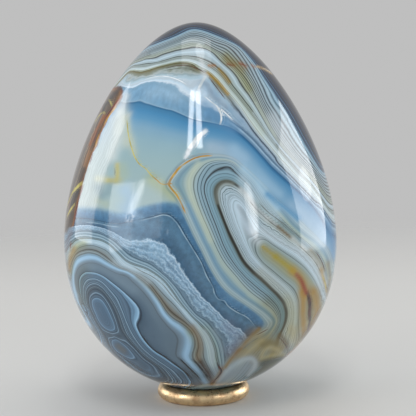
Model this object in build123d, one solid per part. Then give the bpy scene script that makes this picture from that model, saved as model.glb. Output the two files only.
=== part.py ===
from build123d import *

import os

# A polished stone egg that stands, blunt end down, in a ring of round brass wire.
# The egg is one stone and the ring is one closed wire, and the egg lifts straight off.
# Millimetres. The ring's foot lies on z = 0, and the shared axis of ring and egg is +Z.

# Egg: two curves, from the bottom pole out to the belly and from the belly up to the tip
EGG_HEIGHT = 80.0
EGG_DIAMETER = 59.4
BELLY_HEIGHT = 32.5  # the widest level, above the bottom pole
BASE_REACH = 13.5  # how far the curve runs out level from the bottom pole
FLANK_REACH = 21.0  # how far it runs straight down from the belly
SHOULDER_REACH = 20.7  # how far it runs straight up from the belly
CROWN_REACH = 12.9  # how far it runs out level from the tip

# Ring stand: round wire, closed to a ring, with a narrow flat ground on its underside
RING_OUTER_DIAMETER = 20.3
RING_WIRE_DIAMETER = 3.4
FOOT_FLAT_DEPTH = 0.08

# Room left between the stone and the wire where the egg rests
SEAT_GAP = 0.1

# Worked out from the driving dimensions
belly_radius = EGG_DIAMETER / 2
wire_radius = RING_WIRE_DIAMETER / 2
wire_circle_radius = RING_OUTER_DIAMETER / 2 - wire_radius
wire_centre_height = wire_radius - FOOT_FLAT_DEPTH

SEAT_HALVINGS = 50


def lower_outline():
    """The egg's outline from its bottom pole, at the origin, to its belly."""
    return Bezier(
        (0, 0),
        (BASE_REACH, 0),
        (belly_radius, BELLY_HEIGHT - FLANK_REACH),
        (belly_radius, BELLY_HEIGHT),
    )


def upper_outline():
    """The egg's outline from its belly to its tip."""
    return Bezier(
        (belly_radius, BELLY_HEIGHT),
        (belly_radius, BELLY_HEIGHT + SHOULDER_REACH),
        (CROWN_REACH, EGG_HEIGHT),
        (0, EGG_HEIGHT),
    )


def wire_centre_under(outline, share):
    """Centre of a wire that the outline rests on, that share of the way along it."""
    outward = (outline % share).rotate(Axis.Z, -90)
    return outline @ share + outward * (wire_radius + SEAT_GAP)


def pole_height():
    """Height of the egg's bottom pole above the table, found by halving towards the seat."""
    outline = lower_outline()
    low, high = 0.0, 1.0
    for _ in range(SEAT_HALVINGS):
        middle = (low + high) / 2
        if wire_centre_under(outline, middle).X < wire_circle_radius:
            low = middle
        else:
            high = middle
    return wire_centre_height - wire_centre_under(outline, low).Y


def make_egg():
    """The stone, turned about the axis and set down on the ring."""
    axis_line = Line((0, EGG_HEIGHT), (0, 0))
    section = Plane.XZ * make_face([lower_outline(), upper_outline(), axis_line])
    return Pos(0, 0, pole_height()) * revolve(section, Axis.Z)


def make_ring():
    """The stand: a round wire turned about the axis, ground flat where it meets the table."""
    wire = Pos(wire_circle_radius, wire_centre_height) * Circle(wire_radius)
    above_table = Pos(wire_circle_radius, 0) * Rectangle(
        2 * RING_WIRE_DIAMETER,
        2 * RING_WIRE_DIAMETER,
        align=(Align.CENTER, Align.MIN),
    )
    return revolve(Plane.XZ * (wire & above_table), Axis.Z)


def main():
    os.makedirs("parts", exist_ok=True)
    export_step(make_egg(), "parts/agate_egg.step")
    export_step(make_ring(), "parts/ring_stand.step")
    print(f"egg pole {pole_height():.3f} mm above the table")


main()
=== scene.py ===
import math

import bpy
import numpy as np
from mathutils import Color, Matrix, Quaternion, Vector, noise
from mathutils.bvhtree import BVHTree


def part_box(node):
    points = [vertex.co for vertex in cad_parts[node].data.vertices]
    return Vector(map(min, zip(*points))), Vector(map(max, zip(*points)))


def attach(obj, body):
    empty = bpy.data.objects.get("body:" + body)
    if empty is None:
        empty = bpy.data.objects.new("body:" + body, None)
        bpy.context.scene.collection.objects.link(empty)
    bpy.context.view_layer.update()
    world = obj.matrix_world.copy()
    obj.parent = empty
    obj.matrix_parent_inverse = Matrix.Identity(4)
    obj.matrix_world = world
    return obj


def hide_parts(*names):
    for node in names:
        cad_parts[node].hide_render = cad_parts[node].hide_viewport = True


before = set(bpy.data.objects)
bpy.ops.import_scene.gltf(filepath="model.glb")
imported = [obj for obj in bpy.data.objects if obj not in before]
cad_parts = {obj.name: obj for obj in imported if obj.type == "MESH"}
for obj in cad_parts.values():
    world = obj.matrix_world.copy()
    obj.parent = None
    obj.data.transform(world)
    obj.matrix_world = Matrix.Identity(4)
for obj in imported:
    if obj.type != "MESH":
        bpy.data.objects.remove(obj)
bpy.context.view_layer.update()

MM = 0.001

# The photograph's camera, fitted to the outline of egg and ring
PHOTO_SIZE = 416  # pixels, both ways
FOCAL_LENGTH = 1200.0  # pixels
SENSOR_WIDTH = 36.0  # mm
CAMERA_PLACE = Vector((0.0, -261.34, 66.18)) * MM
CAMERA_PITCH = math.radians(5.316)  # downwards
CAMERA_ROLL = math.radians(1.241)  # clockwise
IMAGE_SHIFT = 8.38  # pixels, to the right

# The egg's outline, as in the solid: how far its two curves run straight from pole, belly and tip
egg_low, egg_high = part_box("agate_egg")
EGG_POLE = egg_low[2]
EGG_HEIGHT = egg_high[2] - egg_low[2]
EGG_RADIUS = min(-egg_low[0], -egg_low[1], egg_high[0], egg_high[1])
BELLY_HEIGHT = 32.5 * MM
BASE_REACH = 13.5 * MM
FLANK_REACH = 21.0 * MM
SHOULDER_REACH = 20.7 * MM
CROWN_REACH = 12.9 * MM
EGG_ROWS = 230
EGG_COLUMNS = 380
FRONT_DENSITY = 0.35  # share by which columns are closer in front and wider apart behind

# The ring: its wire's diameter, as in the solid, and the circle and height of the wire's middle
ring_low, ring_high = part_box("ring_stand")
RING_WIRE = 3.4 * MM
RING_RADIUS = (ring_high[0] - ring_low[0] - RING_WIRE) / 2
RING_CENTRE = ring_high[2] - RING_WIRE / 2
RING_STEPS = 288
WIRE_STEPS = 56
DENT_DEPTH = 0.035 * MM
DENT_GRAIN = 0.9 * MM
DENT_START = 0.1  # noise above which the wire is dented

# Curves of the stone's pattern are drawn in pixels of the photograph, from its upper left corner.
# Each carries a level, and the bands of one family follow the levels between its curves.

# Bands over the crown, from the blue layer below them up to the clear dark cap
CROWN = [
    (-40, [(131, 146), (150, 150), (172, 152), (192, 156), (212, 160), (228, 168), (242, 181),
           (256, 195), (272, 210), (292, 226), (312, 246), (322, 262)]),
    (-20, [(131, 122), (145, 123), (160, 127), (175, 131), (190, 135), (205, 139), (219, 143),
           (231, 149), (243, 160), (255, 173), (267, 186), (282, 200), (300, 215), (316, 231),
           (326, 246)]),
    (0, [(126, 102), (135, 101.5), (139, 100.5), (147, 103), (160, 107), (175, 111), (186, 116),
         (200, 120.5), (215, 123), (230, 127), (240, 133), (251, 143), (262, 155), (273, 167),
         (287, 180), (302, 194), (318, 212), (330, 231)]),
    (7, [(128, 86.5), (135, 86), (143, 82), (150, 81), (165, 79.7), (175, 81), (183, 85), (191, 91),
         (200, 97), (212, 104.5), (222, 112), (230, 118), (240, 127), (253, 139), (267, 154.5),
         (280, 168), (298, 186), (316, 205)]),
    (9, [(128, 79), (140, 78), (154.6, 74.6), (165, 71), (179, 70.4), (193, 73.2), (208, 76.7),
         (213, 82.3), (217, 88), (224, 95), (234, 106), (244.6, 118.8), (258, 136), (276, 157)]),
    (11, [(128.7, 71.8), (134.3, 71), (140, 72.2), (148, 70.4), (158, 67.3), (172, 63.8), (184, 62.7),
          (190, 63.6), (199, 69), (209, 73.4), (215, 79.5), (224, 90), (238, 105.5), (251, 125),
          (265, 142.8), (287, 168.5), (303, 184), (318, 200), (330, 217)]),
    (15, [(134, 68.6), (144, 68.2), (155, 65.3), (165, 63), (176, 60.4), (187, 59.6), (197, 62),
          (208, 68), (220, 78), (227, 86.5), (241, 103.5), (256, 123), (272, 144), (290, 165.5)]),
    (20, [(140, 64.8), (147, 63.4), (155, 62.7), (165, 60), (178, 56.6), (190, 56), (200, 57.6),
          (212, 62.8), (226, 75.3), (238, 92), (252, 109.7), (265, 128.7), (279, 147.7), (295, 166.5),
          (313, 186), (328, 207)]),
    (25, [(145.5, 58.8), (154.6, 57.3), (162, 54.3), (172, 51.4), (183, 48.6), (194, 46.8),
          (205, 48.6), (212, 51.8), (224, 63), (236, 75.5), (243, 86.5), (255, 104), (266, 123.7),
          (279, 144), (296, 163), (313, 181.5), (327, 200)]),
    (31, [(150, 54.2), (158, 51.5), (168, 47.5), (180, 43.5), (192, 40.6), (203, 42.6), (215, 48.8),
          (223, 52.9), (234, 64), (246, 78), (256.6, 96.4), (265, 114), (279, 138), (296, 158.5),
          (313, 176), (326, 193)]),
    (38, [(147.5, 52), (158, 48), (170, 43), (182, 38), (192, 35), (203, 36.6), (214, 41), (228, 46.5),
          (240, 58.5), (252, 77), (266, 105.5), (281, 131), (297, 153), (314, 171)]),
    (46, [(144, 48.8), (155, 44.4), (165, 40.6), (176, 36.3), (186, 31.8), (192.5, 29.6), (199, 30),
          (208, 32.5), (217, 36), (228, 40.6), (238, 46), (252, 60.6), (266, 81.8), (275, 96),
          (287, 114), (299, 135), (309, 152), (319, 169)]),
    (57, [(166, 34), (178, 27.2), (191, 23.8), (205, 26), (222, 32.5), (240, 44), (256, 59),
          (270, 76.5), (283, 94), (297, 115), (309, 137)]),
]
# The tongue on the right, from its rim inwards
TONGUE = [
    (-14, [(160, 176), (175, 157), (195, 147), (220, 146), (246, 156), (264, 173), (285, 194),
           (306, 216), (322, 236)]),
    (-14, [(160, 192), (168, 203), (177, 220), (189, 244), (202, 268), (214, 288), (230, 303),
           (246, 315), (252, 325), (240, 335), (226, 350), (212, 368)]),
    (0, [(333, 268), (328, 252), (318, 239.5), (305, 228), (290, 213), (276, 200), (265, 187),
         (254, 176), (243, 166), (233, 158.5), (220, 155.6), (205, 156.4), (194.6, 158.4),
         (182.7, 165.4), (174.3, 174.2), (168.6, 184), (176.4, 194.5), (184, 208), (193, 228),
         (204, 250), (214.5, 271), (226, 287.5), (240, 298.5), (254, 308), (265, 316.5), (270.4, 324),
         (266, 330), (255, 335.6), (244, 343.5), (235, 354), (226, 367), (216, 382)]),
    (15.5, [(328, 280), (326, 268), (321, 257), (313, 248), (302, 238.4), (288, 225.6), (278, 215),
            (268, 204), (260, 190.4), (252.7, 180.6), (242, 170.6), (232, 162.2), (219, 160.4),
            (207, 163.2), (199.4, 170.2), (194.9, 178), (194, 185.6), (195.3, 194), (201.6, 213),
            (208.6, 229), (216, 246), (224, 261), (235, 274.3), (249, 290), (264, 302), (274, 311),
            (278, 320), (273.4, 331), (263, 343.6), (251, 357), (240, 372)]),
    (27, [(327.4, 284), (323, 268.5), (316, 257.4), (306, 246.4), (294.6, 236), (284, 226.4), (273, 216.4),
          (263, 206.6), (255.6, 196.4), (248.6, 187), (241.5, 180.2), (235, 174.6), (229, 172),
          (222, 171.8), (213.6, 174.6), (208.4, 179.6), (205.9, 185), (205.6, 192), (209, 204),
          (217.4, 226.6), (226, 248.4), (234.6, 263), (244, 274.6), (257, 286.4), (270.6, 297.8),
          (278.4, 307.4), (281, 317), (279, 327), (272, 338), (264, 352)]),
    (38, [(326, 284), (320.4, 269), (312, 257), (301, 246.6), (289.6, 236.6), (279, 227.6), (268, 219.4),
          (257, 209.6), (247.6, 197.6), (240, 188.6), (232, 183), (225, 181.8), (219.6, 185),
          (216.6, 190.4), (217.4, 200), (222.8, 216.4), (229.8, 233.6), (236.4, 247), (242.6, 259),
          (250.2, 268.4), (259.2, 276.8), (270.2, 287), (278.4, 295.4), (283.9, 302.2), (286.7, 310.4),
          (286.4, 320), (283.3, 328.4), (280, 335), (276, 348)]),
    (46, [(326.6, 296), (320.6, 276), (311.4, 261.6), (300, 250.6), (285, 240.8), (272, 232),
          (262, 224.6), (253.4, 215), (246, 204.4), (240, 196), (235, 192.6), (230, 191.2), (226, 193.4),
          (224.7, 199.6), (227.4, 212), (232, 224.2), (237, 235), (243, 247.6), (249, 257.6), (256.4, 266),
          (265.4, 274.2), (276, 283.6), (284.6, 291.8), (290, 299.8), (292.2, 309), (291.6, 320),
          (288.6, 330), (285, 342)]),
    (54, [(323, 298), (316.4, 280), (307.6, 266.6), (296.6, 256), (281, 246.2), (268.6, 237.4),
          (258, 228.4), (249.6, 215.6), (242, 204), (236, 200), (233, 204), (235, 216), (239.6, 229),
          (245.4, 243), (252, 255.6), (259, 264), (267.6, 272.4), (279, 281.8), (288, 290.4),
          (293.6, 299.6), (295.4, 310), (295, 322), (293, 335)]),
    (56, [(238, 207), (242.6, 217), (247.6, 227), (251.6, 235)]),
    (62, [(325.6, 309), (323, 301), (318.8, 289.4), (313.4, 278.8), (306.2, 269.2), (296.2, 260.4),
          (283.8, 252), (272.4, 244.4), (263, 239), (256.4, 241.4), (255.6, 250.4), (261.2, 260.6),
          (272.2, 270.4), (284.2, 280.6), (293.6, 289.2), (298.2, 299.4), (299, 310), (298.4, 324),
          (299, 338)]),
    (71, [(263.6, 248.2), (273, 255.4), (283, 262.8), (292.4, 270.2), (299.4, 278.4), (304.8, 287),
          (307.8, 297), (309.4, 308), (309.2, 320), (308.8, 332)]),
]
# The slate blue layer on the left and the nested bands below it, from its top to the eyes
ONION = [
    (-14, [(82, 186), (97, 192), (112, 194), (128, 192), (144, 186), (158, 182), (172, 180), (186, 190)]),
    (0, [(74, 208), (90, 208.5), (106, 211), (120, 213), (132, 211), (141, 207.3), (150, 205),
         (160, 203), (169, 202), (178, 203.5)]),
    (12, [(71, 219), (84, 219), (96, 220.5), (107, 223), (118, 224.4), (131, 222), (144, 219.5),
          (155, 217), (163, 215), (169, 216), (175, 221), (184, 235), (192, 248), (200.5, 262.5),
          (207.5, 277), (213.4, 289.5), (217, 297.5), (227, 306), (245, 317.4), (256, 327)]),
    (30, [(70, 227), (84.6, 225.4), (95, 226.4), (105, 229), (113.5, 233), (120.5, 237.3),
          (127.5, 241.6), (137, 241.6), (147.7, 241.2), (157, 242.8), (163.5, 247), (169, 254.5),
          (175.5, 262), (181.5, 270.3), (187, 279.5), (194, 288), (203, 298.7), (214, 309), (224, 319),
          (232, 326), (241, 331), (247.5, 339)]),
    (40, [(68.5, 238), (75.4, 232.6), (84.6, 231), (95, 232.4), (105.6, 236), (115, 241.8),
          (123, 249.3), (131, 256), (141, 260.6), (151, 264.7), (162, 273.3), (170, 280.4), (179, 291),
          (186.5, 302.5), (196, 314), (207, 322), (214, 330), (220.5, 340), (224, 352), (225, 366)]),
    (46, [(70, 243), (76.5, 239), (85, 237.6), (94.4, 238.7), (102, 240.3), (109, 244.4), (118, 252.8),
          (125.3, 260), (134, 264.2), (144.2, 267.6), (155, 273.4), (164, 280.4), (173, 292),
          (180.5, 303), (190, 314), (201, 325), (209.5, 335), (214.5, 346), (217, 358), (219.5, 368)]),
    (51, [(72.6, 252.8), (77.5, 245), (87, 242), (98, 243.2), (107.3, 247.4), (116, 256), (123.5, 263.6),
          (133.7, 269), (144, 271.8), (155, 278.4), (163, 286), (173, 298), (184, 312), (196, 326),
          (205, 338), (208.6, 349), (210.5, 361), (214, 371)]),
    (57, [(71, 263.3), (76, 253.5), (85, 248.8), (95, 249.4), (103.5, 253.6), (111, 260), (120, 267.5),
          (130.5, 271.6), (141, 277), (150, 284), (158, 293.6), (166.5, 305), (175, 313.6), (186, 322),
          (195.5, 333), (199.5, 345), (198, 356), (204, 366), (211, 377)]),
    (64, [(84, 313), (78, 301.7), (74.6, 291), (73.2, 281), (73.8, 269), (77, 261.9), (83, 258.2),
          (89.6, 256.9), (97.3, 258.3), (106, 263.3), (116, 268.3), (128, 272.2), (135.5, 277.4),
          (146.4, 287), (157, 301), (165.6, 315.4), (172, 321.8), (180.6, 327.2), (187.4, 333.6),
          (190.3, 342), (188.4, 349.5), (187, 356.5), (192, 364), (199.5, 372.4), (205, 381)]),
    (75, [(88, 312), (82, 300), (77.4, 289), (76.4, 277), (80, 268.4), (87, 265), (96, 265.2),
          (106, 269.6), (117, 276), (129, 283), (140, 292), (149, 303), (157, 316), (166, 328),
          (173, 337), (172.5, 347), (173, 355), (181, 363.4), (190, 371.6), (197, 381)]),
    (85, [(97, 329), (89.5, 317), (84.5, 307), (81, 296), (79.6, 287), (80.2, 277), (83.4, 273.2),
          (88, 272.2), (96, 273), (103.4, 276.3), (112, 282.6), (120, 288.7), (129, 297), (136, 304.2),
          (139.5, 310.5), (139, 317), (136.2, 324), (139, 332.5), (145, 341.7), (153.5, 350.5),
          (164, 357.3), (174.5, 365), (185, 373), (191, 382)]),
    (92, [(99, 331), (91, 318), (86.4, 307.5), (83.4, 297), (83.3, 287), (86, 281.3), (91, 278.6),
          (96, 278.9), (102, 282), (109, 289), (116.4, 298), (121.3, 308.5), (125.4, 319.3), (129.8, 329),
          (134.5, 337.5), (143, 348.5), (153, 357), (164, 364.6), (174.5, 372.5), (181.5, 381.5)]),
    (97, [(101, 332), (94, 320), (88.6, 308), (85.9, 298), (86, 290), (89.4, 285.2), (94.5, 283.6),
          (100.2, 286), (107.2, 293), (114.2, 302.8), (119.2, 312.7), (123.4, 324), (127.6, 334.5),
          (134, 343), (143.5, 353.6), (154, 361.6), (165, 369.6), (172.5, 379.5)]),
    (104, [(107, 338), (99, 325.5), (93, 314), (89, 303), (89.5, 294.6), (94, 290.6), (100, 292.2),
           (106.6, 299), (112.4, 309), (116.8, 320), (120.3, 331), (126.5, 339.4), (135, 348.5),
           (144.6, 358.4), (155, 366), (163, 376.5)]),
    (110, [(103, 326.4), (99.4, 322), (95.9, 314.4), (93.1, 307.3), (92.4, 300.6), (95.9, 298.3),
           (100.8, 299.8), (105.7, 306), (110.6, 316), (113.6, 323), (114.6, 329), (110, 330.6),
           (103, 326.4)]),
    (110, [(112.4, 344.5), (111.6, 341.4), (115.3, 339.6), (121.6, 343.2), (129.3, 350.2), (134, 358.4),
           (129.3, 357.9), (121.6, 354.4), (115.4, 350)]),
    (104, [(103, 331), (109, 335), (115, 336), (121, 335.4)]),
    (118, [(98, 306), (101.5, 312.5), (105.5, 320)]),
    (118, [(118, 345.6), (121.6, 348.6), (125.6, 352)]),
]
# The iron stained patch on the left. Its levels are about millimetres inwards from its own edge.
IRON = [
    (-7, [(150, 84), (146, 110), (132, 140), (122, 170), (114, 200), (108, 230), (104, 256)]),
    (0, [(118, 84), (123.5, 90), (122.6, 96.5), (116, 106.5), (111, 114.2), (105.9, 125.3), (99.8, 136.5),
         (96.4, 146.5), (93, 155), (90, 164), (87.2, 171), (84.4, 182), (80.3, 196), (77, 209),
         (74.4, 222), (71.5, 238), (69, 252)]),
]

# Round the back, a family goes on at these heights: azimuth in degrees from the photograph's side
# to its right, height in mm of the family's level 0, levels for each mm upwards
CROWN_BEHIND = [(108, 37, 3.4), (135, 41, 3.0), (160, 48, 3.3), (185, 51, 3.0), (212, 56, 3.4),
                (240, 57, 3.2), (265, 61, 3.2)]
ONION_BEHIND = [(270, 42, -5.2), (245, 38, -4.6), (220, 39, -3.8), (195, 34, -3.9), (170, 35, -3.6),
                (145, 30, -3.2), (118, 24, -3.0)]
BEHIND_STEPS = (-14, -9, -4, 0, 4, 9, 14, 19, 24)  # mm from level 0
# Single places behind: azimuth, height in mm, level
TONGUE_BEHIND = [(100, 31, -3), (100, 26, 16), (100, 20, 46), (100, 14, 56), (104, 8, 44), (115, 36, -12),
                 (122, 29, -4), (125, 20, 14), (128, 11, 22), (150, 27, -20), (150, 14, -8),
                 (180, 22, -34), (180, 10, -26), (215, 25, -50), (260, 25, -70), (290, 30, -70),
                 (180, 50, -50), (120, 60, -60), (0, 72, -80), (300, 55, -70), (0, 3, 20), (60, 4, 40),
                 (320, 6, -30)]
ONION_BEHIND_EXTRA = [(205, 16, 112), (205, 12, 116), (60, 60, -90), (0, 70, -90), (120, 55, -80),
                      (0, 2.5, 70), (60, 12, 30), (60, 30, -40)]
IRON_BEHIND = [(262, 64, 3), (262, 56, 9), (262, 48, 9), (262, 40, 5), (242, 62, -2), (242, 55, 6),
               (242, 46, 6), (242, 39, -2), (226, 56, -3), (226, 47, -2), (200, 50, -12), (160, 50, -20),
               (262, 70, -4), (250, 33, -5), (0, 40, -20), (60, 40, -20), (90, 30, -20), (0, 78, -14)]

# Colours of the bands, as they show on a screen: level, (red, green, blue).
# Thin lines lie over them: level, half width in levels, (red, green, blue).
CROWN_COLOURS = [
    (-70, (164, 186, 188)), (-46, (152, 180, 186)), (-34, (143, 175, 188)), (-24, (128, 166, 190)),
    (-15, (98, 150, 186)), (-7, (80, 137, 178)), (-2, (74, 126, 164)), (-0.6, (58, 104, 140)),
    (0.2, (140, 174, 198)), (0.8, (120, 158, 186)), (3, (114, 154, 184)), (5.4, (122, 161, 190)),
    (6.3, (124, 158, 182)), (7.1, (176, 202, 220)), (8, (166, 190, 204)), (8.7, (160, 180, 188)),
    (9.2, (142, 152, 144)), (9.9, (138, 142, 124)), (10.5, (122, 122, 94)), (11.6, (156, 166, 148)),
    (13.3, (192, 209, 213)), (14.8, (187, 206, 213)), (16.2, (173, 190, 193)), (19, (156, 172, 172)),
    (20.8, (156, 174, 180)), (22.2, (180, 202, 214)), (23.4, (176, 198, 210)), (25.8, (162, 174, 166)),
    (28, (154, 168, 162)), (31.6, (162, 176, 178)), (34, (158, 175, 181)), (40, (152, 170, 180)),
    (43.2, (160, 184, 196)), (45.3, (152, 184, 204)), (46.4, (98, 132, 154)), (47.6, (38, 68, 92)),
    (50, (42, 74, 98)), (51.5, (22, 44, 62)), (53.5, (34, 64, 86)), (56, (18, 38, 54)), (59, (32, 60, 78)),
    (63, (18, 38, 54)), (70, (24, 46, 64)), (74, (14, 30, 42)), (79, (44, 72, 92)), (82, (18, 36, 50)),
    (91, (28, 50, 66)), (94, (74, 102, 118)), (97, (24, 42, 56)), (108, (40, 62, 76)), (111, (92, 114, 122)),
    (115, (34, 52, 64)), (130, (60, 80, 90)),
]
CROWN_LINES = [
    (6.8, 0.3, (216, 228, 238)), (7.5, 0.35, (208, 221, 231)), (8.9, 0.15, (190, 204, 208)),
    (9.7, 0.25, (98, 96, 80)), (10.3, 0.3, (88, 84, 62)), (11, 0.5, (88, 72, 34)),
    (12.4, 0.35, (148, 152, 134)), (17, 0.6, (108, 116, 112)), (18.2, 0.45, (118, 128, 126)),
    (19.7, 0.8, (66, 70, 66)), (24.7, 1.0, (36, 38, 34)), (26.8, 0.5, (104, 112, 104)),
    (28.3, 0.6, (88, 92, 80)), (30.2, 1.1, (32, 28, 20)), (32.9, 0.9, (52, 60, 62)),
    (35.2, 0.9, (58, 68, 70)), (37.6, 1.0, (30, 38, 42)), (40.1, 0.9, (54, 68, 74)),
    (42.5, 0.9, (48, 66, 76)), (44.6, 0.6, (84, 110, 124)), (49, 0.4, (96, 126, 144)),
    (52.6, 0.4, (82, 110, 128)), (55, 0.4, (72, 96, 110)), (57.5, 0.4, (78, 100, 112)),
    (61, 0.4, (72, 92, 102)), (67, 0.5, (70, 98, 116)), (76, 0.5, (84, 112, 128)),
    (86, 0.6, (72, 98, 112)), (102, 0.7, (92, 114, 124)),
]
# On the right flank the crown's lowest bands close up to fine lines
FLANK_COLOURS = [
    (-7, (72, 130, 172)), (-4, (66, 120, 162)), (-1.5, (52, 96, 134)), (0.8, (104, 138, 168)),
    (2.4, (114, 148, 176)), (4.4, (156, 186, 210)), (6.4, (74, 102, 126)), (7.9, (134, 161, 184)),
    (8.4, (148, 170, 190)), (9.2, (50, 66, 82)), (10.4, (164, 183, 194)), (11.6, (186, 201, 208)),
    (13.2, (190, 207, 212)),
]
TONGUE_COLOURS = [
    (-6, (128, 156, 172)), (-3, (134, 160, 170)), (-0.5, (150, 172, 178)), (1.2, (156, 180, 187)),
    (2.8, (146, 172, 182)), (4.4, (130, 160, 174)), (5.8, (120, 152, 168)), (7.3, (134, 164, 174)),
    (8.8, (150, 174, 178)), (11, (164, 184, 180)), (13.3, (164, 184, 182)), (16.6, (156, 180, 188)),
    (20.5, (142, 170, 184)), (24, (138, 166, 180)), (27.6, (134, 166, 182)), (31, (128, 162, 178)),
    (33.4, (124, 156, 170)), (35, (108, 130, 136)), (36.2, (72, 76, 68)), (37.6, (46, 46, 36)),
    (38.7, (78, 84, 80)), (39.8, (150, 166, 170)), (42.4, (166, 186, 196)), (47, (172, 194, 206)),
    (51, (180, 202, 215)), (55, (178, 201, 214)), (58.5, (164, 184, 192)), (61, (146, 164, 168)),
    (63.5, (150, 168, 170)), (66, (146, 162, 158)), (69, (148, 158, 142)), (73, (150, 152, 128)),
]
TONGUE_LINES = [
    (-1.6, 0.6, (176, 196, 202)), (2, 0.5, (176, 198, 206)), (15.1, 0.9, (78, 94, 98)),
    (18.8, 0.8, (70, 88, 94)), (22.2, 0.8, (66, 86, 94)), (25.8, 1.1, (46, 42, 30)),
    (28.4, 0.5, (94, 118, 128)), (31.8, 0.5, (98, 118, 126)), (41.6, 0.6, (98, 112, 116)),
    (44, 0.6, (86, 104, 112)), (46.6, 0.5, (110, 128, 138)), (62, 1.3, (94, 110, 112)),
]
ONION_COLOURS = [
    (-4, (140, 172, 186)), (0, (112, 152, 180)), (4, (86, 126, 160)), (9, (76, 114, 146)),
    (11.3, (70, 102, 128)), (12.9, (84, 118, 144)), (18, (90, 124, 150)), (24, (80, 110, 136)),
    (28.2, (68, 98, 124)), (29.2, (142, 174, 198)), (31, (144, 177, 203)), (33, (122, 154, 180)),
    (35, (134, 167, 193)), (38.2, (112, 140, 160)), (39.4, (104, 128, 146)), (41, (124, 154, 174)),
    (44.4, (138, 168, 186)), (46.6, (128, 152, 164)), (48, (168, 196, 212)), (50, (180, 206, 222)),
    (51.8, (172, 198, 214)), (53.4, (144, 166, 180)), (55, (132, 150, 158)), (57, (122, 132, 136)),
    (58.6, (118, 130, 134)), (60.2, (122, 140, 150)), (61.6, (128, 156, 176)), (63, (152, 190, 219)),
    (65.4, (158, 195, 224)), (67, (140, 174, 202)), (68.6, (124, 150, 170)), (70.4, (114, 134, 150)),
    (73, (104, 123, 138)), (78, (102, 122, 138)), (82, (90, 110, 128)), (83.6, (80, 100, 118)),
    (84.6, (60, 76, 90)), (85.4, (138, 178, 210)), (86.8, (108, 142, 170)), (88.6, (96, 120, 142)),
    (91, (94, 120, 142)), (93.4, (100, 124, 144)), (95, (88, 110, 128)), (98.2, (86, 105, 121)),
    (101, (80, 96, 109)), (103, (74, 90, 104)), (106, (82, 102, 120)), (109, (86, 111, 133)),
    (111.4, (94, 125, 152)), (115, (84, 110, 134)), (119, (80, 106, 130)), (126, (74, 100, 124)),
]
ONION_LINES = [
    (11, 0.6, (50, 74, 96)), (29.6, 0.6, (192, 213, 230)), (31, 0.5, (118, 148, 174)),
    (32, 0.5, (168, 195, 215)), (33.2, 0.5, (104, 134, 158)), (34.3, 0.5, (162, 190, 211)),
    (35.6, 0.5, (112, 141, 164)), (36.8, 0.5, (158, 186, 206)), (38, 0.5, (98, 123, 143)),
    (39.9, 0.5, (66, 86, 98)), (41.4, 0.5, (168, 194, 208)),
    (42.8, 0.5, (84, 106, 120)), (44, 0.4, (166, 190, 202)), (45.4, 0.5, (84, 96, 96)),
    (46.8, 0.5, (92, 96, 84)), (50.5, 0.4, (184, 208, 222)), (54.4, 0.5, (100, 112, 116)),
    (56.2, 0.5, (150, 164, 168)), (57.6, 0.6, (86, 88, 84)), (59.2, 0.5, (146, 162, 168)),
    (60.4, 0.4, (98, 104, 100)), (72.4, 0.9, (92, 104, 112)), (84.5, 0.5, (44, 58, 70)),
    (85.3, 0.6, (158, 198, 228)), (87.8, 0.5, (76, 96, 116)), (91.4, 0.5, (58, 76, 92)),
    (92.2, 0.5, (156, 186, 210)), (94.2, 0.5, (64, 82, 98)), (95.4, 0.4, (124, 150, 172)),
    (96.2, 0.4, (56, 72, 88)), (97, 0.5, (146, 176, 200)), (99, 0.5, (60, 76, 90)),
    (100.2, 0.4, (116, 134, 148)), (102.6, 0.5, (50, 64, 78)), (105.8, 0.6, (138, 168, 192)),
    (107, 0.5, (58, 76, 92)), (109.2, 0.4, (60, 80, 98)), (110.2, 0.6, (130, 166, 198)),
]
IRON_COLOURS = [
    (-0.4, (156, 116, 70)), (0.2, (106, 66, 46)), (0.6, (146, 106, 66)), (1.0, (100, 82, 70)),
    (2, (116, 104, 92)), (2.7, (104, 98, 94)), (3.6, (122, 115, 108)), (4.6, (92, 87, 86)),
    (5.6, (128, 119, 110)), (6.6, (94, 89, 88)), (8, (82, 79, 80)), (9, (136, 112, 84)),
    (9.6, (94, 88, 88)), (12, (86, 83, 84)),
]
IRON_LINES = [(3.1, 0.12, (166, 150, 126)), (5.1, 0.12, (160, 146, 124)), (7.2, 0.12, (150, 120, 88))]

# Thin lines on the stone, and a painted highlight among the pale ones: half width in pixels, points
AMBER_LINES = [
    (0.7, [(151.1, 174.9), (156.7, 179.8), (161, 183.6), (169, 184.6)]),
    (1.4, [(165, 187), (168.6, 183.4), (170.8, 179.1), (174.3, 174.2), (179.2, 167.9), (183.6, 164.4)]),
    (0.9, [(180, 167), (188.3, 161.4), (194.6, 158.2), (205, 156), (214, 155.6)]),
    (1.0, [(165, 181), (168.4, 184.4), (172.2, 189.6), (176.4, 194.5), (179.6, 200), (182.6, 206.5),
           (186, 215)]),
    (1.6, [(117, 105), (112.6, 111), (108.4, 117), (103.6, 125)]),
    (1.6, [(100, 132), (97, 140), (95.4, 148)]),
]
YELLOW_LINES = [
    (0.8, [(126.6, 118), (128.5, 135), (131.5, 147.5), (135, 157.3), (139.2, 163.7), (145.5, 168.6),
           (151.1, 174.9), (156.7, 179.8)]),
    (2.6, [(84.4, 182), (79, 185.3), (75, 189.3), (71.5, 194.4), (69.2, 200.2), (67.4, 205), (65.6, 211)]),
    (2.0, [(76, 202.6), (71.5, 208.2), (68.6, 213.4), (66.3, 219.4)]),
    (1.4, [(107.6, 98.6), (110.5, 102.4), (112.4, 107.4)]),
    (1.6, [(106, 114.6), (103.6, 112.4), (99.6, 115), (96.7, 119), (93, 125)]),
    (0.9, [(321.6, 273), (324.8, 283), (326.6, 293)]),
]
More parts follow.
